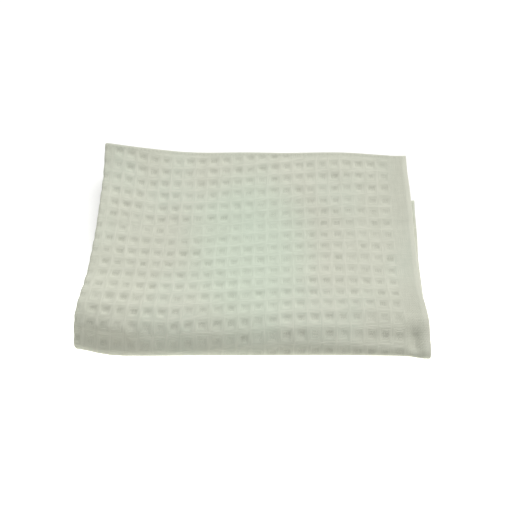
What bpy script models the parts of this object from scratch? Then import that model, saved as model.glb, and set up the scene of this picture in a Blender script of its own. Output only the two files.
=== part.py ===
"""A waffle cotton floor cloth, folded to a pad of eight plies that lies on its lowest ply.

The cloth is one piece. It is doubled across its width, with the crease on the left and both
selvedges on the right. The doubled cloth then goes back and forth in four levels: from the free
end at the back of the top, round the big front fold to the bottom, round a soft fold at the back,
and round a tight fold inside the front to its other end. X runs along the crease-to-selvedge
width, Y from front to back. Sizes are in millimetres until the mesh is made.
"""
import bpy
import numpy as np

METRES = 0.001

# The cloth and its layers
CLOTH_THICKNESS = 2.2
PLY_GAP = 0.7
LEVEL_GAP = 0.9

# The section from front to back
TOP_END_Y = 92.8
SHOULDER_Y = -64.0
FRONT_Y = -91.9
FRONT_SKEW = 0.026
NOSE_HEIGHT = 7.0
BACK_TURN_Y = 83.0
BACK_SLOPE_Y = 76.0
BACK_SLOPE_LENGTH = 24.0
INNER_TURN_Y = -68.0
INNER_END_Y = 48.0

# The raised back corners of the free end on top: side, start across, reach, steepness, rise
CORNERS = (
    (-1, 62, 66, 1.5, 8.0),
    (1, 80, 44, 2.0, 1.2),
)
CORNER_LENGTH = 46.0

COTTON = (0.60, 0.64, 0.53, 1.0)

DOUBLED = 2 * CLOTH_THICKNESS + PLY_GAP
LEVEL_PITCH = DOUBLED + LEVEL_GAP
LEVEL_1 = DOUBLED / 2
LEVEL_2 = LEVEL_1 + LEVEL_PITCH
LEVEL_3 = LEVEL_2 + LEVEL_PITCH
LEVEL_4 = LEVEL_3 + LEVEL_PITCH
TOP_HEIGHT = LEVEL_4 + DOUBLED / 2

# Where the crease and the two selvedges lie, by length along the cloth from its top end:
# length, crease x, outer ply's selvedge x, inner ply's selvedge x
EDGES = (
    (0, -127.6, 123.4, 122.6),
    (36, -125.8, 123.4, 122.4),
    (80, -124.8, 123.2, 122.8),
    (120, -125.0, 123.2, 122.2),
    (140, -126.0, 124.4, 123.0),
    (152, -127.4, 125.8, 124.0),
    (164, -128.6, 127.0, 125.4),
    (184, -129.2, 127.4, 125.8),
    (196, -129.2, 127.6, 126.0),
    (230, -127.0, 128.0, 126.8),
    (300, -125.0, 124.0, 123.4),
    (360, -124.4, 121.6, 122.6),
    (400, -124.0, 122.4, 121.4),
    (470, -122.4, 123.6, 122.8),
    (530, -124.6, 125.0, 124.2),
    (560, -125.0, 124.6, 125.2),
    (600, -123.6, 124.2, 124.8),
    (640, -122.4, 125.4, 126.8),
    (660, -122.0, 126.4, 127.8),
)

# Where the pad stands higher or lower than its even layers: x, y, reach in x, reach in y, rise
LOFTS = (
    (-112, -60, 52, 26, 4.2),
    (-114, -90, 44, 13, -5.0),
    (108, -84, 44, 17, -6.6),
    (-30, -62, 70, 24, 0.8),
    (20, 12, 80, 46, -1.6),
    (-128, 10, 22, 90, 0.8),
    (116, -50, 40, 70, -3.2),
    (-70, 92, 70, 24, 1.0),
    (90, 92, 60, 26, 0.6),
    (60, -40, 34, 20, 0.5),
)

# Where its front, back and shoulder wander: x, y, reach in x, reach in y, shift in y
SWAYS = (
    (-50, 92, 44, 30, -1.8),
    (70, 92, 36, 30, 1.4),
    (118, 92, 24, 30, -2.4),
    (-131, -92, 21, 34, 6.2),
    (125, -93, 11, 20, -2.8),
    (-115, -66, 50, 14, -2.5),
    (92, -68, 56, 16, 2.5),
)

# How finely each stretch is divided
TOP_STEPS = 10
SHOULDER_STEPS = 7
NOSE_STEPS = 4
BOTTOM_STEPS = 9
BACK_TURN_STEPS = 7
SLOPE_STEPS = 5
SECOND_STEPS = 6
INNER_TURN_STEPS = 6
THIRD_STEPS = 7
CREASE_STEPS = 4
ACROSS = (0.0, 0.025, 0.07, 0.15, 0.25, 0.36, 0.48, 0.60, 0.72, 0.83, 0.91, 0.965, 1.0)


def level_run(start_y, end_y, z, facing, steps):
    """Points of a flat stretch, with the side that faces out of the doubled cloth: 1 up, -1 down."""
    share = np.arange(steps) / steps
    y = start_y + (end_y - start_y) * share
    flat = np.zeros(steps)
    return np.stack([y, flat + z, flat, flat + facing], axis=1)


def slope(start_y, end_y, start_z, end_z, facing, steps):
    """Points of a stretch that eases from one height to another."""
    share = np.arange(steps) / steps
    y = start_y + (end_y - start_y) * share
    z = start_z + (end_z - start_z) * (1 - np.cos(np.pi * share)) / 2
    fall = (end_z - start_z) / (end_y - start_y) * np.sin(np.pi * share) * np.pi / 2
    size = np.hypot(1, fall)
    return np.stack([y, z, -facing * fall / size, facing / size], axis=1)


def bend(y, z, reach_y, reach_z, start, end, facing, steps):
    """Points of an elliptic turn about (y, z), from one angle to another in degrees, 90 being up."""
    angle = np.radians(start + (end - start) * np.arange(steps) / steps)
    across = np.cos(angle) / reach_y
    up = np.sin(angle) / reach_z
    size = np.hypot(across, up)
    points = [y + reach_y * np.cos(angle), z + reach_z * np.sin(angle)]
    return np.stack(points + [facing * across / size, facing * up / size], axis=1)


def section():
    """The middle line of the doubled cloth, from its top end to its inner end: y, z and normal."""
    nose_reach = SHOULDER_Y - FRONT_Y - DOUBLED / 2
    nose_radius = NOSE_HEIGHT - LEVEL_1
    lower_y = SHOULDER_Y - nose_reach + nose_radius
    back_radius = (LEVEL_3 - LEVEL_1) / 2
    inner_radius = (LEVEL_3 - LEVEL_2) / 2
    slope_end_y = BACK_SLOPE_Y - BACK_SLOPE_LENGTH
    return np.concatenate([
        level_run(TOP_END_Y, SHOULDER_Y, LEVEL_4, 1, TOP_STEPS),
        bend(SHOULDER_Y, NOSE_HEIGHT, nose_reach, LEVEL_4 - NOSE_HEIGHT, 90, 180, 1, SHOULDER_STEPS),
        bend(lower_y, NOSE_HEIGHT, nose_radius, nose_radius, 180, 270, 1, NOSE_STEPS),
        level_run(lower_y, BACK_TURN_Y, LEVEL_1, -1, BOTTOM_STEPS),
        bend(BACK_TURN_Y, LEVEL_2, back_radius, back_radius, -90, 90, 1, BACK_TURN_STEPS),
        level_run(BACK_TURN_Y, BACK_SLOPE_Y, LEVEL_3, 1, 1),
        slope(BACK_SLOPE_Y, slope_end_y, LEVEL_3, LEVEL_2, 1, SLOPE_STEPS),
        level_run(slope_end_y, INNER_TURN_Y, LEVEL_2, 1, SECOND_STEPS),
        bend(INNER_TURN_Y, LEVEL_2 + inner_radius, inner_radius, inner_radius, 270, 90, -1,
             INNER_TURN_STEPS),
        level_run(INNER_TURN_Y, INNER_END_Y, LEVEL_3, -1, THIRD_STEPS),
        [[INNER_END_Y, LEVEL_3, 0, -1]],
    ])


def length_along(line):
    """How much cloth lies between its top end and each point of the middle line."""
    steps = np.hypot(np.diff(line[:, 0]), np.diff(line[:, 1]))
    return np.concatenate([[0], np.cumsum(steps)])


def hairpin(radius):
    """One face of the doubled cloth across its width, outer ply first.

    Each row is the share of the way from the crease to the selvedge, the reach past the start of
    the crease's round, the distance from the middle line, and 0 on the outer ply or 1 on the inner.
    """
    rows = [(share, 0, radius, 0) for share in ACROSS[:0:-1]]
    for angle in np.linspace(0, np.pi, CREASE_STEPS + 1):
        ply = 0 if angle < np.pi / 2 else 1
        rows.append((0, -radius * np.sin(angle), radius * np.cos(angle), ply))
    rows += [(share, 0, -radius, 1) for share in ACROSS[1:]]
    return rows


def bell(x, y, row):
    """A soft round bump, 1 at its middle, for one row of LOFTS or SWAYS."""
    middle_x, middle_y, reach_x, reach_y, _ = row
    return np.exp(-((x - middle_x) / reach_x) ** 2 - ((y - middle_y) / reach_y) ** 2)


def corner_lift(x, length):
    """How far the free end on top rises off the pad at its two back corners."""
    rise = 0
    for side, start, reach, steepness, height in CORNERS:
        rise = rise + height * np.clip((side * x - start) / reach, 0, 1) ** steepness
    return rise * np.clip(1 - length / CORNER_LENGTH, 0, 1) ** 2


def cloth_points():
    """Rings of points round the doubled cloth, one ring for each point of the middle line."""
    line = section()
    length = length_along(line)
    table = np.array(EDGES)
    crease, outer_edge, inner_edge = (np.interp(length, table[:, 0], table[:, k]) for k in (1, 2, 3))
    ring = np.array(hairpin(DOUBLED / 2) + hairpin(PLY_GAP / 2)[::-1])
    share, reach, offset, ply = ring.T

    edge = np.where(ply == 0, outer_edge[:, None], inner_edge[:, None])
    start = crease[:, None] + DOUBLED / 2
    x = start + share * (edge - start) + reach
    y = line[:, 0:1] + line[:, 2:3] * offset
    z = line[:, 1:2] + line[:, 3:4] * offset

    loft = sum(row[4] * bell(x, y, row) for row in LOFTS)
    sway = sum(row[4] * bell(x, y, row) for row in SWAYS)
    sway = sway + FRONT_SKEW * x * (TOP_END_Y - y) / (TOP_END_Y - FRONT_Y)
    z = z * (1 + loft / TOP_HEIGHT) + corner_lift(x, length[:, None])
    return np.stack([x, y + sway, z], axis=2)


def cloth_faces(rings, around):
    """Quads between neighbouring rings, and a strip of quads that closes each end of the cloth."""
    faces = []
    for ring in range(rings - 1):
        for point in range(around):
            after = (point + 1) % around
            near = ring * around
            far = near + around
            faces.append((near + point, near + after, far + after, far + point))
    for first, turned in ((0, False), ((rings - 1) * around, True)):
        for point in range(around // 2 - 1):
            outer = first + point
            inner = first + around - 1 - point
            face = (outer, inner, inner - 1, outer + 1)
            faces.append(face[::-1] if turned else face)
    return faces


def cotton():
    """Undyed cotton, dull and pale."""
    material = bpy.data.materials.new("undyed_cotton")
    material.use_nodes = True
    shader = material.node_tree.nodes["Principled BSDF"]
    shader.inputs["Base Color"].default_value = COTTON
    shader.inputs["Roughness"].default_value = 0.9
    shader.inputs["Metallic"].default_value = 0.0
    return material


def make_cloth():
    """The folded cloth as one closed solid."""
    points = cloth_points()
    rings, around, _ = points.shape
    mesh = bpy.data.meshes.new("cloth")
    mesh.from_pydata((points.reshape(-1, 3) * METRES).tolist(), [], cloth_faces(rings, around))
    mesh.update()
    mesh.shade_smooth()
    mesh.materials.append(cotton())
    cloth = bpy.data.objects.new("cloth", mesh)
    bpy.context.scene.collection.objects.link(cloth)
    return cloth


for old in list(bpy.data.objects):
    bpy.data.objects.remove(old, do_unlink=True)
make_cloth()
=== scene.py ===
"""The looks of a waffle cotton floor cloth, folded to a pad of eight plies.

The cloth is woven as a grid of square pits between raised ridges, with a plain band along each
selvedge and a narrow hem at each end. It lies in the folds of its solid. Sizes are in
millimetres until a mesh is made.
"""
import math

import bpy
import numpy as np
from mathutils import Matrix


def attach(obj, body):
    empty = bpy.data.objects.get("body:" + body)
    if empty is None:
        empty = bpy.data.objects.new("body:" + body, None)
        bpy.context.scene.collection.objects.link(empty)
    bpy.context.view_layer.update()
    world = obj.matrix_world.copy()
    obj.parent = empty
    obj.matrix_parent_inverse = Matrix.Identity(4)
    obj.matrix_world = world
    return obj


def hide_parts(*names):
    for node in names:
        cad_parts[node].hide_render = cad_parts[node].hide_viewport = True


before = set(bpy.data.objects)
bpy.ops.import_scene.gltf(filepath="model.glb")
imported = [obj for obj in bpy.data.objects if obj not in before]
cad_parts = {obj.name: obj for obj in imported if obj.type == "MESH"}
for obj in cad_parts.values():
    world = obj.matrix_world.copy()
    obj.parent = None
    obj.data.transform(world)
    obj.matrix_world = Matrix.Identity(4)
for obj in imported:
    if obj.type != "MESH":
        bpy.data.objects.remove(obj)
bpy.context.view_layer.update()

METRES = 0.001

# The cloth and its layers
CLOTH_THICKNESS = 2.2
PLY_GAP = 0.7
LEVEL_GAP = 0.9

# The section from front to back
TOP_END_Y = 92.8
SHOULDER_Y = -64.0
FRONT_Y = -91.9
FRONT_SKEW = 0.026
NOSE_HEIGHT = 7.0
BACK_TURN_Y = 83.0
BACK_SLOPE_Y = 76.0
BACK_SLOPE_LENGTH = 24.0
INNER_TURN_Y = -68.0
INNER_END_Y = 48.0

# The raised back corners of the free end on top: side, start across, reach, steepness, rise
CORNERS = (
    (-1, 62, 66, 1.5, 8.0),
    (1, 80, 44, 2.0, 1.2),
)
CORNER_LENGTH = 46.0

DOUBLED = 2 * CLOTH_THICKNESS + PLY_GAP
LEVEL_PITCH = DOUBLED + LEVEL_GAP
LEVEL_1 = DOUBLED / 2
LEVEL_2 = LEVEL_1 + LEVEL_PITCH
LEVEL_3 = LEVEL_2 + LEVEL_PITCH
LEVEL_4 = LEVEL_3 + LEVEL_PITCH
TOP_HEIGHT = LEVEL_4 + DOUBLED / 2

# Where the crease and the two selvedges lie, by length along the cloth from its top end:
# length, crease x, outer ply's selvedge x, inner ply's selvedge x
EDGES = np.array((
    (0, -127.6, 123.4, 122.6),
    (36, -125.8, 123.4, 122.4),
    (80, -124.8, 123.2, 122.8),
    (120, -125.0, 123.2, 122.2),
    (140, -126.0, 124.4, 123.0),
    (152, -127.4, 125.8, 124.0),
    (164, -128.6, 127.0, 125.4),
    (184, -129.2, 127.4, 125.8),
    (196, -129.2, 127.6, 126.0),
    (230, -127.0, 128.0, 126.8),
    (300, -125.0, 124.0, 123.4),
    (360, -124.4, 121.6, 122.6),
    (400, -124.0, 122.4, 121.4),
    (470, -122.4, 123.6, 122.8),
    (530, -124.6, 125.0, 124.2),
    (560, -125.0, 124.6, 125.2),
    (600, -123.6, 124.2, 124.8),
    (640, -122.4, 125.4, 126.8),
    (660, -122.0, 126.4, 127.8),
))

# Where the pad stands higher or lower than its even layers: x, y, reach in x, reach in y, rise
LOFTS = (
    (-112, -60, 52, 26, 4.2),
    (-114, -90, 44, 13, -5.0),
    (108, -84, 44, 17, -6.6),
    (-30, -62, 70, 24, 0.8),
    (20, 12, 80, 46, -1.6),
    (-128, 10, 22, 90, 0.8),
    (116, -50, 40, 70, -3.2),
    (-70, 92, 70, 24, 1.0),
    (90, 92, 60, 26, 0.6),
    (60, -40, 34, 20, 0.5),
)

# Where its front, back and shoulder wander: x, y, reach in x, reach in y, shift in y
SWAYS = (
    (-50, 92, 44, 30, -1.8),
    (70, 92, 36, 30, 1.4),
    (118, 92, 24, 30, -2.4),
    (-131, -92, 21, 34, 6.2),
    (125, -93, 11, 20, -2.8),
    (-115, -66, 50, 14, -2.5),
    (92, -68, 56, 16, 2.5),
)

# How finely each stretch of the section is divided
TOP_STEPS = 40
SHOULDER_STEPS = 60
NOSE_STEPS = 20
BOTTOM_STEPS = 40
BACK_TURN_STEPS = 40
BACK_LEVEL_STEPS = 4
SLOPE_STEPS = 30
SECOND_STEPS = 40
INNER_TURN_STEPS = 30
THIRD_STEPS = 40

# The weave: cells a side, the plain bands round it, and how deep and how wide its pits are
CELL = 9.9
SELVEDGE_BAND = 16.0
HEM = 4.4
PIT_DEPTH = 0.9
PIT_SIDE = (0.03, 0.36)
PIT_END = (0.12, 0.47)
BAND_THINNER = 0.35
YARNS_PER_CELL = 12
YARN_HEIGHT = 0.22
STITCH_IN = 3.1
STITCHES_PER_CELL = 3.0
LINES_PER_CELL = 8

# Rows of pits by length along the cloth from its top end: length, rows so far
ROWS = np.array((
    (0.0, -0.35),
    (4.4, 0.0),
    (61.7, 4.5),
    (105.4, 8.5),
    (157.7, 13.5),
    (655.6, 58.0),
))

# Lines of the mesh in each row of pits: first row, last row, lines
ROW_LINES = (
    (0, 18, 8),
    (18, 32, 4),
    (32, 35, 8),
    (35, 47, 3),
    (47, 50, 8),
    (50, 58, 3),
)

# Lines of the mesh beside a cut edge, and how many run over a band, the crease and a hidden ply
RIM_LINES = (0, 0.3, 1.1)
BAND_LINE = 2.8
BAND_LINES = 9
CREASE_LINES = 9
HIDDEN_LINES = 15
CREASE_GAP = 0.3
END_GAP = 0.5

# The weave bows towards the back on the right and at the far left, and sags between them.
# Here and below, a pair says where something begins and where it is full.
BOW_RIGHT = 11.0
BOW_RIGHT_X = 8.0
BOW_SPREAD = 46.0
BOW_LEFT = 6.0
BOW_LEFT_X = (-80.0, -130.0)
BOW_LEFT_LENGTH = (140.0, 40.0)
BOW_START = 48.0
BOW_FRONT_LENGTH = (60.0, 150.0)
BOW_FRONT_SHARE = 0.6
SAG = 2.2
SAG_X = -62.0
SAG_SPREAD = 30.0

# Where the pits are deeper or flatter on top of the pad: x, y, reach in x, reach in y, change
RELIEF = (
    (-112, 60, 60, 50, 0.25),
    (-110, -50, 50, 40, 0.15),
    (10, 10, 46, 40, -0.30),
    (104, -20, 46, 90, -0.42),
    (114, 82, 26, 24, -0.35),
    (50, 80, 60, 20, 0.10),
)

# The row of pits that an old pressed line has flattened
PRESSED_ROW = 6.5
PRESSED_REACH = 0.6
PRESSED_SHARE = 0.65

# How much of its depth a pit keeps, drawn for each cell, with some cells to spare round the cloth
PIT_SEED = 21
PIT_KEEPS = (0.45, 1.25)
SPARE_CELLS = 3
COLUMNS_BEFORE = 2
ROWS_BEFORE = 1

# Small unevenness that runs through the cloth: seed, size of its blotches, reach
ROW_WANDER = (12, 24, 0.5)
COLUMN_WANDER = (11, 24, 0.5)
LOFT_WANDER = (8, 34, 0.35)
WANDER_FADE = 12.0
INSIDE_GRID = 1.001

# Where the weave fades into the plain bands and hems, and ends past the crease
WEAVE_BLEND = 1.0
BAND_BLEND = 3.0
CREASE_BLEND = 4.0

# Where its pits are pulled flat: before the crease, and under the front fold by length
CREASE_PULL = 0.6
CREASE_PULL_FROM = 12.0
CREASE_PULL_FULL = 4.0
FRONT_PULL = 0.85
FRONT_PULL_FIRST = (178.0, 190.0)
FRONT_PULL_LAST = (214.0, 204.0)

# The least share of its thickness that the cloth keeps at its round cut edges
RIM_LEAST = 0.3

# Soft troughs and ridges on top: from x, y, to x, y, width, rise
CREASES = (
    (-120, 12, 122, 18, 5, -0.35),
    (-116, -34, -30, -40, 8, -0.45),
    (66, -44, 118, -22, 11, -0.60),
    (-60, 34, -30, -20, 12, 0.35),
    (30, 84, 62, 60, 9, -0.45),
    (70, 64, 84, -8, 8, 0.35),
    (-10, -46, 52, -34, 9, 0.40),
    (-92, 66, -70, 20, 9, -0.30),
    (98, 78, 114, 10, 7, -0.30),
    (-118, -10, -88, -24, 8, 0.30),
    (-130, -80, -96, -80, 6, 1.8),
    (-104, -80, -52, -79, 6, 1.0),
    (20, -79, 104, -77, 4.5, 0.7),
    (102, -73, 130, -72, 7, 1.7),
)

# The selvedge band caves in where it goes round the front fold: by length along the cloth from
# its first and from its last end, by distance from the selvedge on its outer and inner side, and
# how deep
CAVE_FIRST = (165.6, 174.6)
CAVE_LAST = (187.6, 179.6)
CAVE_OUTER = (5.0, 10.5)
CAVE_INNER = (17.0, 11.0)
CAVE_DEPTH = 3.0

# The faint green cast through the middle of the pad, in metres: x, y, reach in x, reach in y
CAST_X = -0.004
CAST_Y = -0.008
CAST_REACH_X = 0.046
CAST_REACH_Y = 0.074
CAST_FADE = (1.7, 0.0)

# The cotton's colours: on its ridges, the painted shade down in its pits, between its yarns and
# in its seam, its pale colour where it is worn pale and the painted highlight along its
# selvedge's edge, in its cooler patches, and the filter of the green cast
RIDGE = (0.553, 0.566, 0.470, 1.0)
PAINTED_SHADE_COLOUR = (0.372, 0.384, 0.308, 1.0)
WORN_AND_HIGHLIGHT = (0.672, 0.682, 0.578, 1.0)
COOL = (0.536, 0.600, 0.500, 1.0)
GREEN_CAST = (0.918, 1.000, 0.974, 1.0)

# How strongly each of these shows in its colour: the pit, yarn-gap and seam shades are painted
# shade, and the edge light is a painted highlight
PIT_SHADE = 0.50
YARN_GAP_SHADE = 0.16
COOL_SHARE = 0.45
SLUB_LIGHT = 0.5
CROWN_LIGHT = 0.14
CLOUD_LIGHT = 0.35
CAST_LIGHT = 0.32
BAND_LIGHT = 0.06
EDGE_HIGHLIGHT = 0.8
SEAM_SHADE = 0.25
STITCH_CLEARS = 0.2

# The places of its patterns: in cells, in millimetres from a hem's end, or as a share of a noise
BAND_EDGE = (0.05, -0.05)
# Where the painted highlight runs along the outer selvedge's edge, in cells
HIGHLIT_EDGE_COLUMNS = (-1.15, -1.35)
HEM_BLEND = 0.3
# Where the painted shade on a pit's floor begins and is full, by its depth
PIT_FLOOR = (0.35, 1.0)
CELL_UNEVEN = (0.25, 0.75)
COOL_PATCH = (0.45, 0.75)
CROWN = (0.16, 0.02)
CROWN_SLUB = (0.3, 0.6)
PALE_SLUB = (0.3, 0.75)
SEAM_WIDTH = (1.1, 0.2)
STITCH_GAP = (0.20, 0.35)
PIT_PLAIN = 0.3

# How finely its noises are drawn, and how far apart for one yarn or cell and the next
WAVE_SCALE = 1.9
WAVE_REACH = 0.10
SLUB_APART = 1.37
SLUB_ALONG = 0.9
FUZZ_SCALE = 1400.0
CLOUD_SCALE = 13.0
PATCH_COLUMNS = 0.21
PATCH_ROWS = 0.17
CELL_APART = 3.7

# Its bump, in yarn heights: the round yarns, their slubs, fuzz, the sunken seam and its stitches
YARN_RISE = 0.55
SLUB_RISE = 0.6
FUZZ_RISE = 0.5
SEAM_DEPTH = 1.1
STITCH_RISE = 1.4
BUMP_STRENGTH = 0.8

# The white table, in metres: its size, how far it lies under the pad, its grain, colours and glow
FLOOR_SIZE = 30.0
FLOOR_DROP = 0.0002
FLOOR_GRAIN = 60.0
FLOOR_DARK = (0.50, 0.50, 0.50, 1.0)
FLOOR_PALE = (0.53, 0.53, 0.53, 1.0)
GLOW_Y = (0.04, -0.10)
GLOW_BACK = (0.40, 0.40, 0.39, 1.0)
GLOW_FRONT = (1.0, 0.995, 0.94, 1.0)

# Light: an even pale sky, a broad lamp high at the back right, and a table that glows a little
SKY = 0.29
LAMP = 3.12
LAMP_BREADTH = 42.0
LAMP_TO_BACK = 30.0
LAMP_TO_RIGHT = 17.0
FLOOR_GLOW = 1.25

# The camera: the photograph's view, seen from in front and above
VIEW_HEIGHT_ANGLE = 53.0
VIEW_TURN = 1.4
LENS = 57.8
CAMERA_PLACE = (7.4, -384.1, 515.4)


def level_run(start_y, end_y, z, facing, steps):
    """Points of a flat stretch, with the side that faces out of the doubled cloth: 1 up, -1 down."""
    share = np.arange(steps) / steps
    y = start_y + (end_y - start_y) * share
    flat = np.zeros(steps)
    return np.stack([y, flat + z, flat, flat + facing], axis=1)


def slope(start_y, end_y, start_z, end_z, facing, steps):
    """Points of a stretch that eases from one height to another."""
    share = np.arange(steps) / steps
    y = start_y + (end_y - start_y) * share
    z = start_z + (end_z - start_z) * (1 - np.cos(np.pi * share)) / 2
    fall = (end_z - start_z) / (end_y - start_y) * np.sin(np.pi * share) * np.pi / 2
    size = np.hypot(1, fall)
    return np.stack([y, z, -facing * fall / size, facing / size], axis=1)


def bend(y, z, reach_y, reach_z, start, end, facing, steps):
    """Points of an elliptic turn about (y, z), from one angle to another in degrees, 90 being up."""
    angle = np.radians(start + (end - start) * np.arange(steps) / steps)
    across = np.cos(angle) / reach_y
    up = np.sin(angle) / reach_z
    size = np.hypot(across, up)
    points = [y + reach_y * np.cos(angle), z + reach_z * np.sin(angle)]
    return np.stack(points + [facing * across / size, facing * up / size], axis=1)


def section():
    """The middle line of the doubled cloth, from its top end to its inner end: y, z and normal."""
    nose_reach = SHOULDER_Y - FRONT_Y - DOUBLED / 2
    nose_radius = NOSE_HEIGHT - LEVEL_1
    lower_y = SHOULDER_Y - nose_reach + nose_radius
    back_radius = (LEVEL_3 - LEVEL_1) / 2
    inner_radius = (LEVEL_3 - LEVEL_2) / 2
    slope_end_y = BACK_SLOPE_Y - BACK_SLOPE_LENGTH
    return np.concatenate([
        level_run(TOP_END_Y, SHOULDER_Y, LEVEL_4, 1, TOP_STEPS),
        bend(SHOULDER_Y, NOSE_HEIGHT, nose_reach, LEVEL_4 - NOSE_HEIGHT, 90, 180, 1, SHOULDER_STEPS),
        bend(lower_y, NOSE_HEIGHT, nose_radius, nose_radius, 180, 270, 1, NOSE_STEPS),
        level_run(lower_y, BACK_TURN_Y, LEVEL_1, -1, BOTTOM_STEPS),
        bend(BACK_TURN_Y, LEVEL_2, back_radius, back_radius, -90, 90, 1, BACK_TURN_STEPS),
        level_run(BACK_TURN_Y, BACK_SLOPE_Y, LEVEL_3, 1, BACK_LEVEL_STEPS),
        slope(BACK_SLOPE_Y, slope_end_y, LEVEL_3, LEVEL_2, 1, SLOPE_STEPS),
        level_run(slope_end_y, INNER_TURN_Y, LEVEL_2, 1, SECOND_STEPS),
        bend(INNER_TURN_Y, LEVEL_2 + inner_radius, inner_radius, inner_radius, 270, 90, -1,
             INNER_TURN_STEPS),
        level_run(INNER_TURN_Y, INNER_END_Y, LEVEL_3, -1, THIRD_STEPS),
        [[INNER_END_Y, LEVEL_3, 0, -1]],
    ])


MIDDLE_LINE = section()
LENGTH_ALONG = np.concatenate([
    [0], np.cumsum(np.hypot(np.diff(MIDDLE_LINE[:, 0]), np.diff(MIDDLE_LINE[:, 1])))
])
CLOTH_LENGTH = LENGTH_ALONG[-1]

# Across the width the cloth is a straight ply, a tight round at the crease, and a second ply
CREASE_RADIUS = (CLOTH_THICKNESS + PLY_GAP) / 2
PLY_WIDTH = EDGES[0, 2] - EDGES[0, 1] - DOUBLED / 2
CREASE_START = PLY_WIDTH
CREASE_END = CREASE_START + math.pi * CREASE_RADIUS
CLOTH_WIDTH = CREASE_END + PLY_WIDTH


def bell(x, y, row):
    """A soft round bump, 1 at its middle, for one row of LOFTS, SWAYS or RELIEF."""
    middle_x, middle_y, reach_x, reach_y, _ = row
    return np.exp(-((x - middle_x) / reach_x) ** 2 - ((y - middle_y) / reach_y) ** 2)


def ease(low, high, value):
    """0 below low, 1 above high, and a smooth step between."""
    share = np.clip((value - low) / (high - low), 0, 1)
    return share * share * (3 - 2 * share)


def corner_lift(x, length):
    """How far the free end on top rises off the pad at its two back corners."""
    rise = 0
    for side, start, reach, steepness, height in CORNERS:
        rise = rise + height * np.clip((side * x - start) / reach, 0, 1) ** steepness
    return rise * np.clip(1 - length / CORNER_LENGTH, 0, 1) ** 2


def wander(u, v, kind):
    """Smooth random unevenness over the cloth, to either side of 0."""
    seed, size, reach = kind
    columns = int(CLOTH_WIDTH / size) + SPARE_CELLS
    rows = int(CLOTH_LENGTH / size) + SPARE_CELLS
    grid = np.random.RandomState(seed).uniform(-1, 1, (columns, rows))
    a = np.clip(u / size, 0, columns - INSIDE_GRID)
    b = np.clip(v / size, 0, rows - INSIDE_GRID)
    i = a.astype(int)
    j = b.astype(int)
    s = ease(0, 1, a - i)
    t = ease(0, 1, b - j)
    near = grid[i, j] * (1 - s) + grid[i + 1, j] * s
    far = grid[i, j + 1] * (1 - s) + grid[i + 1, j + 1] * s
    return reach * (near * (1 - t) + far * t)


def bow(x, v):
    """How far the weave's rows lie back from a straight line across the cloth."""
    right = BOW_RIGHT * (1 + np.tanh((x - BOW_RIGHT_X) / BOW_SPREAD)) / 2
    left = BOW_LEFT * ease(*BOW_LEFT_X, x) * ease(*BOW_LEFT_LENGTH, v)
    share = 1 - (1 - BOW_FRONT_SHARE) * ease(*BOW_FRONT_LENGTH, v)
    sag = SAG * np.exp(-((x - SAG_X) / SAG_SPREAD) ** 2)
    return (right * share + left - sag) * ease(CLOTH_LENGTH, CLOTH_LENGTH - BOW_START, v)


def weave_rows(u, v):
    """The row of pits at a point of the cloth: its cut end on top runs across the bowed rows."""
    cut = bow(place_across(u, v)[0], v) * ease(BOW_START, 0, v)
    return np.interp(v + cut, ROWS[:, 0], ROWS[:, 1])


def place_across(u, v):
    """Where a thread at width u lies across the pad, and how it stands off the middle line.

    Gives x, the distance off the middle line, and the ply's own outward direction in x and off it.
    """
    crease, outer_edge, inner_edge = (np.interp(v, EDGES[:, 0], EDGES[:, k]) for k in (1, 2, 3))
    turn = np.clip((u - CREASE_START) / CREASE_RADIUS, 0, math.pi)
    outer_share = np.clip(1 - u / CREASE_START, 0, 1)
    inner_share = np.clip((u - CREASE_END) / PLY_WIDTH, 0, 1)
    share = outer_share + inner_share
    edge = np.where(u < CREASE_END, outer_edge, inner_edge)
    even_start = EDGES[0, 1] + DOUBLED / 2
    even = even_start + share * PLY_WIDTH
    from_crease = (crease - EDGES[0, 1]) * (1 - share) ** 3
    from_edge = (edge - EDGES[0, 2]) * share ** 3
    x = even + from_crease + from_edge - CREASE_RADIUS * np.sin(turn)
    return x, CREASE_RADIUS * np.cos(turn), -np.sin(turn), np.cos(turn)


def from_selvedge(u):
    """How far a width lies from the nearer selvedge."""
    return np.minimum(u, CLOTH_WIDTH - u)


def from_end(v):
    """How far a length lies from the nearer end of the cloth."""
    return np.minimum(v, CLOTH_LENGTH - v)


def pit(columns, rows):
    """How deep the weave lies: 0 on the ridges round a cell, 1 on the floor of its pit."""
    across = 0.5 - np.abs(columns % 1 - 0.5)
    along = 0.5 - np.abs(rows % 1 - 0.5)
    return ease(*PIT_SIDE, across) * ease(*PIT_END, along)


def pit_share(columns, rows, x, y):
    """How much of its full depth each pit keeps, cell by cell and over the pad."""
    across = int(CLOTH_WIDTH / CELL) + SPARE_CELLS
    along = int(ROWS[-1, 1]) + SPARE_CELLS
    cells = np.random.RandomState(PIT_SEED).uniform(*PIT_KEEPS, (across, along))
    column = np.clip(np.floor(columns) + COLUMNS_BEFORE, 0, across - 1).astype(int)
    row = np.clip(np.floor(rows) + ROWS_BEFORE, 0, along - 1).astype(int)
    over_pad = 1 + sum(line[4] * bell(x, y, line) for line in RELIEF)
    pressed = 1 - PRESSED_SHARE * np.exp(-((rows - PRESSED_ROW) / PRESSED_REACH) ** 2)
    return cells[column, row] * over_pad * pressed


def creases(x, y):
    """The rise of the soft troughs and ridges pressed into the top of the pad."""
    rise = 0
    for from_x, from_y, to_x, to_y, width, height in CREASES:
        run = np.array([to_x - from_x, to_y - from_y], float)
        length = np.hypot(*run)
        along = ((x - from_x) * run[0] + (y - from_y) * run[1]) / length
        aside = ((x - from_x) * run[1] - (y - from_y) * run[0]) / length
        past_end = np.maximum(np.maximum(-along, along - length), 0)
        rise = rise + height * np.exp(-(aside / width) ** 2 - (past_end / (2 * width)) ** 2)
    return rise


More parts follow.
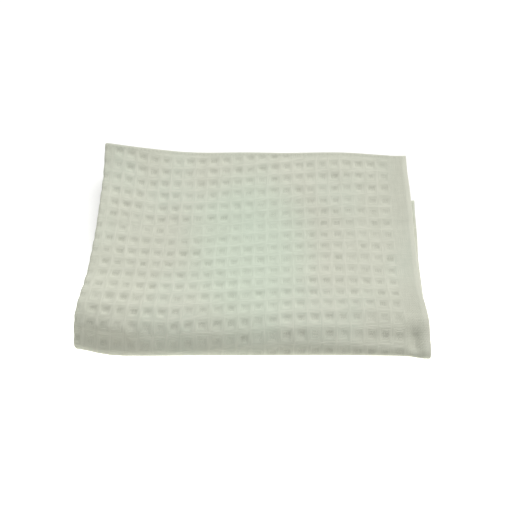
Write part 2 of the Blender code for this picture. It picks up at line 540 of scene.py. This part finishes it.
def cave(x, s):
    """How far the selvedge band caves in round the front fold, both plies together."""
    inward = np.interp(s, EDGES[:, 0], EDGES[:, 2]) - x
    ends = ease(*CAVE_FIRST, s) * ease(*CAVE_LAST, s)
    middle = ease(*CAVE_OUTER, inward) * ease(*CAVE_INNER, inward)
    return CAVE_DEPTH * ends * middle


def rim(distance):
    """How full the cloth's thickness is at a distance from its cut edge: its edge is round."""
    share = np.clip(distance / (CLOTH_THICKNESS / 2), 0, 1)
    return np.clip(np.sqrt(1 - (1 - share) ** 2), RIM_LEAST, 1)


def weave_relief(u, v, s, x, y, rows, face):
    """How deep the weave lies in the face that turns out: less where the cloth is pulled flat."""
    woven = ease(SELVEDGE_BAND - WEAVE_BLEND, SELVEDGE_BAND + WEAVE_BLEND, from_selvedge(u))
    woven = woven * ease(HEM - WEAVE_BLEND, HEM + WEAVE_BLEND, from_end(v))
    outside = np.where(face > 0, ease(CREASE_END + CREASE_BLEND, CREASE_END, u), 0)
    by_crease = ease(CREASE_START - CREASE_PULL_FROM, CREASE_START - CREASE_PULL_FULL, u)
    by_front = ease(*FRONT_PULL_FIRST, s) * ease(*FRONT_PULL_LAST, s)
    keeps = (1 - CREASE_PULL * by_crease) * (1 - FRONT_PULL * by_front)
    columns = (u - SELVEDGE_BAND) / CELL
    depth = PIT_DEPTH * pit(columns, rows) * pit_share(columns, rows, x, y)
    return keeps * depth * woven * outside


def cloth_point(u, v, rows, face):
    """Points of the folded cloth's surface, on the face that turns out of the fold (1) or in (-1)."""
    x = place_across(u, v)[0]
    inside = ease(0, WANDER_FADE, v) * ease(CLOTH_LENGTH, CLOTH_LENGTH - WANDER_FADE, v)
    s = v - bow(x, v) * ease(0, BOW_START, v) + wander(u, v, ROW_WANDER) * inside
    s = np.clip(s, 0, CLOTH_LENGTH)
    x, off, out_x, out_off = place_across(u, s)
    x = x + wander(u, v, COLUMN_WANDER)
    line = [np.interp(s, LENGTH_ALONG, MIDDLE_LINE[:, k]) for k in range(4)]

    relief = weave_relief(u, v, s, x, line[0], rows, face)
    thinner = BAND_THINNER * ease(SELVEDGE_BAND, SELVEDGE_BAND - BAND_BLEND, from_selvedge(u))
    thinner = thinner * ease(0, BAND_BLEND, from_selvedge(u))
    rounded = rim(from_selvedge(u)) * rim(from_end(v))
    half = (CLOTH_THICKNESS / 2 - relief - thinner) * rounded
    stand = off + face * out_off * half - cave(x, s)
    x = x + face * out_x * half

    y = line[0] + line[2] * stand
    z = line[1] + line[3] * stand
    loft = sum(row[4] * bell(x, y, row) for row in LOFTS) + wander(u, v, LOFT_WANDER)
    sway = sum(row[4] * bell(x, y, row) for row in SWAYS)
    sway = sway + FRONT_SKEW * x * (TOP_END_Y - y) / (TOP_END_Y - FRONT_Y)
    high = ease(LEVEL_3, LEVEL_4, z)
    z = z * (1 + loft / TOP_HEIGHT) + corner_lift(x, s) + creases(x, y) * high
    return np.stack([x, y + sway, z], axis=-1)


def width_lines():
    """Widths at which lines of the mesh run along the cloth: on its outer face and on its inner."""
    rounding = np.array(RIM_LINES)
    band = np.linspace(BAND_LINE, SELVEDGE_BAND, BAND_LINES)
    step = CELL / LINES_PER_CELL
    cells = SELVEDGE_BAND + step * np.arange(1, int((CREASE_START - SELVEDGE_BAND) / step) + 1)
    cells = cells[cells < CREASE_START - CREASE_GAP]
    crease = np.linspace(CREASE_START, CREASE_END, CREASE_LINES)
    hidden = np.linspace(CREASE_END, CLOTH_WIDTH - SELVEDGE_BAND, HIDDEN_LINES)[1:]
    far = CLOTH_WIDTH - np.concatenate([rounding, band[:-1]])[::-1]
    outer = np.concatenate([rounding, band, cells, crease, hidden, far])
    plain = np.linspace(SELVEDGE_BAND, CREASE_START, HIDDEN_LINES)[1:]
    near = [rounding[::2], band, plain, crease[1:-1:2], crease[-1:]]
    inner = np.concatenate(near + [hidden, far[:-3], far[-2:]])
    return outer, inner


def row_lines():
    """Lengths at which rings of the mesh run round the cloth."""
    rows = [np.arange((last - first) * lines) / lines + first for first, last, lines in ROW_LINES]
    rows = np.concatenate(rows + [[ROWS[-1, 1]]])
    lengths = np.interp(rows, ROWS[:, 1], ROWS[:, 0])
    start = np.array(RIM_LINES + (BAND_LINE,))
    end = start[::-1]
    end = CLOTH_LENGTH - end[end < CLOTH_LENGTH - lengths[-1] - END_GAP]
    return np.concatenate([start, lengths, end])


def fill_between(first, first_at, second, second_at):
    """Triangles between two lines of points, which needn't have the same number of points."""
    faces = []
    i = 0
    j = 0
    while i < len(first) - 1 or j < len(second) - 1:
        step_first = j == len(second) - 1 or (i < len(first) - 1 and first_at[i + 1] <= second_at[j + 1])
        if step_first:
            faces.append((first[i], second[j], first[i + 1]))
            i += 1
        else:
            faces.append((first[i], second[j], second[j + 1]))
            j += 1
    return faces


def around_raised(outer, inner):
    """1 where the mesh itself carries the weave's pits, and 0 where the finish does."""
    return np.concatenate([ease(CREASE_END + CREASE_BLEND, CREASE_END, outer), inner * 0])


def weave_cloth():
    """The whole cloth as one closed mesh, with its weave's columns and rows as its UV map."""
    outer, inner = width_lines()
    lengths = row_lines()
    around = np.concatenate([outer, inner[::-1]])
    face = np.concatenate([np.ones(len(outer)), -np.ones(len(inner))])
    u = np.broadcast_to(around, (len(lengths), len(around)))
    v = np.broadcast_to(lengths[:, None], u.shape)
    rows = weave_rows(u, v)
    points = cloth_point(u, v, rows, np.broadcast_to(face, u.shape))

    rings, count = u.shape
    index = np.arange(rings * count).reshape(rings, count)
    after = np.roll(index, -1, axis=1)
    quads = np.stack([index[:-1], after[:-1], after[1:], index[1:]], axis=-1).reshape(-1, 4)
    faces = quads.tolist()
    split = len(outer)
    for ring, turned in ((index[0], True), (index[-1], False)):
        cap = fill_between(ring[:split], outer, ring[split:][::-1], inner)
        faces += [tri[::-1] if turned else tri for tri in cap]

    mesh = bpy.data.meshes.new("waffle_cloth")
    mesh.from_pydata((points.reshape(-1, 3) * METRES).tolist(), [], faces)
    mesh.update()
    weave = mesh.uv_layers.new(name="weave")
    corner_points = np.empty(len(mesh.loops), int)
    mesh.loops.foreach_get("vertex_index", corner_points)
    columns = (u.reshape(-1) - SELVEDGE_BAND) / CELL
    pairs = np.stack([columns, rows.reshape(-1)], axis=1)[corner_points]
    weave.data.foreach_set("uv", pairs.reshape(-1))
    raised = mesh.attributes.new("raised_weave", "FLOAT", "POINT")
    raised.data.foreach_set("value", np.tile(around_raised(outer, inner), len(lengths)))
    end_distance = mesh.attributes.new("from_end", "FLOAT", "POINT")
    end_distance.data.foreach_set("value", from_end(v).reshape(-1))
    mesh.shade_smooth()
    cloth = bpy.data.objects.new("waffle_cloth", mesh)
    bpy.context.scene.collection.objects.link(cloth)
    return cloth


class Signal:
    """A shader socket that takes part in sums."""

    def __init__(self, finish, socket):
        self.finish = finish
        self.socket = socket

    def maths(self, operation, *values):
        return self.finish.node("ShaderNodeMath", {"operation": operation}, dict(enumerate(values)))[0]

    def __add__(self, other):
        return self.maths("ADD", self, other)

    def __radd__(self, other):
        return self.maths("ADD", other, self)

    def __sub__(self, other):
        return self.maths("SUBTRACT", self, other)

    def __rsub__(self, other):
        return self.maths("SUBTRACT", other, self)

    def __mul__(self, other):
        return self.maths("MULTIPLY", self, other)

    def __rmul__(self, other):
        return self.maths("MULTIPLY", other, self)

    def __truediv__(self, other):
        return self.maths("DIVIDE", self, other)

    def __gt__(self, other):
        return self.maths("GREATER_THAN", self, other)

    def floor(self):
        return self.maths("FLOOR", self)

    def fraction(self):
        return self.maths("FRACT", self)

    def size(self):
        return self.maths("ABSOLUTE", self)


class Outputs:
    """A node's output sockets by name or place."""

    def __init__(self, finish, node):
        self.finish = finish
        self.node = node

    def __getitem__(self, key):
        return Signal(self.finish, self.node.outputs[key])


class Finish:
    """One material and the nodes that make it."""

    def __init__(self, name):
        self.material = bpy.data.materials.new(name)
        self.material.use_nodes = True
        self.tree = self.material.node_tree
        self.shader = self.tree.nodes["Principled BSDF"]

    def give(self, node, inputs):
        """Sets a node's sockets to values, or links signals to them."""
        for key, value in inputs.items():
            if isinstance(value, Signal):
                self.tree.links.new(value.socket, node.inputs[key])
            else:
                node.inputs[key].default_value = value

    def node(self, kind, settings=None, inputs=None):
        """Adds a node, with its settings first and then its sockets."""
        node = self.tree.nodes.new(kind)
        for key, value in (settings or {}).items():
            setattr(node, key, value)
        self.give(node, inputs or {})
        return Outputs(self, node)

    def mix(self, share, first, second):
        """A colour between two, by share."""
        mixed = self.node("ShaderNodeMix", {"data_type": "RGBA"}, {0: share, 6: first, 7: second})
        return mixed[2]

    def tint(self, share, colour, filter_colour):
        """A colour seen through a filter, by share."""
        settings = {"data_type": "RGBA", "blend_type": "MULTIPLY"}
        return self.node("ShaderNodeMix", settings, {0: share, 6: colour, 7: filter_colour})[2]

    def choose(self, share, first, second):
        """A value between two, by share."""
        return first + (second - first) * share

    def ease(self, low, high, value):
        """0 below low, 1 above high, and a smooth step between."""
        inputs = {"Value": value, "From Min": low, "From Max": high}
        return self.node("ShaderNodeMapRange", {"interpolation_type": "SMOOTHSTEP"}, inputs)["Result"]

    def at(self, x, y, z=0.0):
        """A place for a pattern, from two values and a number."""
        return self.node("ShaderNodeCombineXYZ", None, {"X": x, "Y": y, "Z": z})[0]

    def noise(self, where, scale, detail):
        """Soft random values about a half."""
        inputs = {"Vector": where, "Scale": scale, "Detail": detail}
        return self.node("ShaderNodeTexNoise", None, inputs)["Fac"]


def beside_line(places):
    """How far from the nearest line between two cells: 0 on it and a half in a cell's middle."""
    return 0.5 - (places.fraction() - 0.5).size()


def round_back(yarns):
    """How high a yarn's round back stands: 1 along its middle and 0 at its sides."""
    aside = yarns.fraction() * 2 - 1
    return 1 - aside * aside


def wavy_weave(finish):
    """The weave's columns and rows from its UV map, a little wavy."""
    weave = finish.node("ShaderNodeUVMap", {"uv_map": "weave"})["UV"]
    parts = finish.node("ShaderNodeSeparateXYZ", None, {"Vector": weave})
    wobble = finish.noise(weave, WAVE_SCALE, 2.0)
    waver = finish.noise(finish.at(parts["Y"], parts["X"], 4.0), WAVE_SCALE, 2.0)
    return parts["X"] + (wobble - 0.5) * WAVE_REACH, parts["Y"] + (waver - 0.5) * WAVE_REACH


def cast_share(finish, where):
    """How strongly the green cast shows: most in the middle of the pad."""
    spot = finish.node("ShaderNodeSeparateXYZ", None, {"Vector": where})
    aside = (spot["X"] - CAST_X) / CAST_REACH_X
    back = (spot["Y"] - CAST_Y) / CAST_REACH_Y
    return finish.ease(*CAST_FADE, aside * aside + back * back)


def cotton_finish():
    """Undyed waffle cotton: floats of soft yarn round plain-woven pits, its colour faintly uneven, with
    painted shade in its pits, between its yarns and in its seam, and a painted highlight along its
    selvedge's edge.
    """
    finish = Finish("waffle_cotton")
    columns, rows = wavy_weave(finish)
    where = finish.node("ShaderNodeTexCoord")["Object"]
    raised = finish.node("ShaderNodeAttribute", {"attribute_name": "raised_weave"})["Fac"]
    end_distance = finish.node("ShaderNodeAttribute", {"attribute_name": "from_end"})["Fac"]

    warp = columns * YARNS_PER_CELL
    weft = rows * YARNS_PER_CELL
    warp_number = warp.floor()
    weft_number = weft.floor()
    across = beside_line(columns)
    along = beside_line(rows)
    depth = finish.ease(*PIT_SIDE, across) * finish.ease(*PIT_END, along)
    band = finish.ease(*BAND_EDGE, columns)
    hem = finish.ease(HEM + HEM_BLEND, HEM - HEM_BLEND, end_distance)
    open_weave = (1 - band) * (1 - hem)

    middle_across = beside_line((warp_number + 0.5) / YARNS_PER_CELL)
    middle_along = beside_line((weft_number + 0.5) / YARNS_PER_CELL)
    plain = finish.choose(band, finish.choose(hem, depth * PIT_PLAIN, 1.0), 1.0)
    over_under = ((warp_number + weft_number) / 2).fraction() * 2 - 0.5
    warp_over = (middle_along - middle_across + over_under * plain) > 0.0
    yarn_round = finish.choose(warp_over, round_back(weft), round_back(warp))
    warp_slub = finish.noise(finish.at(warp_number * SLUB_APART, rows * SLUB_ALONG, 2.0), 1.0, 1.0)
    weft_slub = finish.noise(finish.at(weft_number * SLUB_APART, columns * SLUB_ALONG, 7.0), 1.0, 1.0)
    slub = finish.choose(warp_over, weft_slub, warp_slub)

    fuzz = finish.noise(where, FUZZ_SCALE, 2.0)
    cloud = finish.noise(where, CLOUD_SCALE, 2.0)
    patch = finish.noise(finish.at(columns * PATCH_COLUMNS, rows * PATCH_ROWS, 3.0), 1.0, 1.0)
    cell = finish.noise(finish.at(columns.floor() * CELL_APART, rows.floor() * CELL_APART, 5.0), 1.0, 0.0)
    sunken = finish.ease(*PIT_FLOOR, depth) * open_weave * finish.ease(*CELL_UNEVEN, cell)
    # Painted shade: the floors of the pits and the gaps between the yarns are darkened
    painted_shade = sunken * PIT_SHADE + (1 - yarn_round) * YARN_GAP_SHADE
    tone = finish.mix(painted_shade, RIDGE, PAINTED_SHADE_COLOUR)
    tone = finish.mix(finish.ease(*COOL_PATCH, patch) * COOL_SHARE * (1 - painted_shade), tone, COOL)

    crown = finish.ease(*CROWN, across) * finish.ease(*CROWN_SLUB, warp_slub) * open_weave
    crown = crown + finish.ease(*CROWN, along) * finish.ease(*CROWN_SLUB, weft_slub) * open_weave
    cast = cast_share(finish, where)
    light = finish.ease(*PALE_SLUB, slub) * SLUB_LIGHT + crown * CROWN_LIGHT
    light = light + (cloud - 0.5) * CLOUD_LIGHT + cast * CAST_LIGHT + band * BAND_LIGHT
    colour = finish.tint(cast, finish.mix(light, tone, WORN_AND_HIGHLIGHT), GREEN_CAST)
    # Painted highlight: a pale strip along the outer selvedge's edge, where it catches the light
    colour = finish.mix(finish.ease(*HIGHLIT_EDGE_COLUMNS, columns) * EDGE_HIGHLIGHT, colour, WORN_AND_HIGHLIGHT)

    # Painted shade in the sunken seam by each hem, lifted again on its stitches
    seam = finish.ease(*SEAM_WIDTH, (end_distance - STITCH_IN).size())
    stitch = seam * finish.ease(*STITCH_GAP, (columns * STITCHES_PER_CELL).fraction())
    colour = finish.mix(seam * SEAM_SHADE - stitch * STITCH_CLEARS, colour, PAINTED_SHADE_COLOUR)

    height = yarn_round * (YARN_RISE + slub * SLUB_RISE) + fuzz * FUZZ_RISE
    height = height - seam * SEAM_DEPTH + stitch * STITCH_RISE
    height = height - depth * (1 - raised) * (PIT_DEPTH / YARN_HEIGHT)
    inputs = {"Strength": BUMP_STRENGTH, "Distance": YARN_HEIGHT * METRES, "Height": height}
    bump = finish.node("ShaderNodeBump", None, inputs)
    finish.give(finish.shader, {
        "Base Color": colour,
        "Roughness": 0.84 + fuzz * 0.14,
        "Normal": bump["Normal"],
        "Sheen Weight": 0.12,
        "Sheen Roughness": 0.6,
        "Specular IOR Level": 0.2,
    })
    return finish.material


def floor_finish():
    """A plain matt white surface, lit a little from within like a studio table, most in front."""
    finish = Finish("white_table")
    where = finish.node("ShaderNodeTexCoord")["Object"]
    grain = finish.noise(where, FLOOR_GRAIN, 3.0)
    spot = finish.node("ShaderNodeSeparateXYZ", None, {"Vector": where})
    glow = finish.mix(finish.ease(*GLOW_Y, spot["Y"]), GLOW_BACK, GLOW_FRONT)
    colour = finish.mix(grain, FLOOR_DARK, FLOOR_PALE)
    finish.give(finish.shader, {
        "Base Color": colour,
        "Roughness": 0.8,
        "Specular IOR Level": 0.1,
        "Emission Color": glow,
        "Emission Strength": FLOOR_GLOW,
    })
    return finish.material


def lay_floor():
    """The surface under the pad."""
    bpy.ops.object.select_all(action="DESELECT")
    bpy.ops.mesh.primitive_plane_add(size=FLOOR_SIZE, location=(0, 0, -FLOOR_DROP))
    floor = bpy.context.object
    floor.name = "table_surface"
    floor.data.materials.append(floor_finish())


def light_scene():
    """Even studio light from all round, with a broad soft light overhead."""
    world = bpy.data.worlds.new("studio")
    world.use_nodes = True
    world.node_tree.nodes["Background"].inputs["Color"].default_value = (1.0, 1.0, 1.0, 1.0)
    world.node_tree.nodes["Background"].inputs["Strength"].default_value = SKY
    bpy.context.scene.world = world
    overhead = bpy.data.lights.new("overhead", "SUN")
    overhead.energy = LAMP
    overhead.angle = math.radians(LAMP_BREADTH)
    lamp = bpy.data.objects.new("overhead", overhead)
    lamp.rotation_euler = (math.radians(-LAMP_TO_BACK), math.radians(LAMP_TO_RIGHT), 0)
    bpy.context.scene.collection.objects.link(lamp)


def place_camera():
    """The camera, at the photograph's viewing angle."""
    data = bpy.data.cameras.new("view")
    data.lens = LENS
    camera = bpy.data.objects.new("view", data)
    camera.location = [value * METRES for value in CAMERA_PLACE]
    camera.rotation_euler = (math.radians(90 - VIEW_HEIGHT_ANGLE), 0, math.radians(VIEW_TURN))
    bpy.context.scene.collection.objects.link(camera)
    bpy.context.scene.camera = camera


place_camera()
light_scene()
lay_floor()
cloth = weave_cloth()
cloth.data.materials.append(cotton_finish())
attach(cloth, "root")
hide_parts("cloth")
CLOTH_WIDTH * METRES
bpy.context.scene.view_settings.view_transform = "Standard"
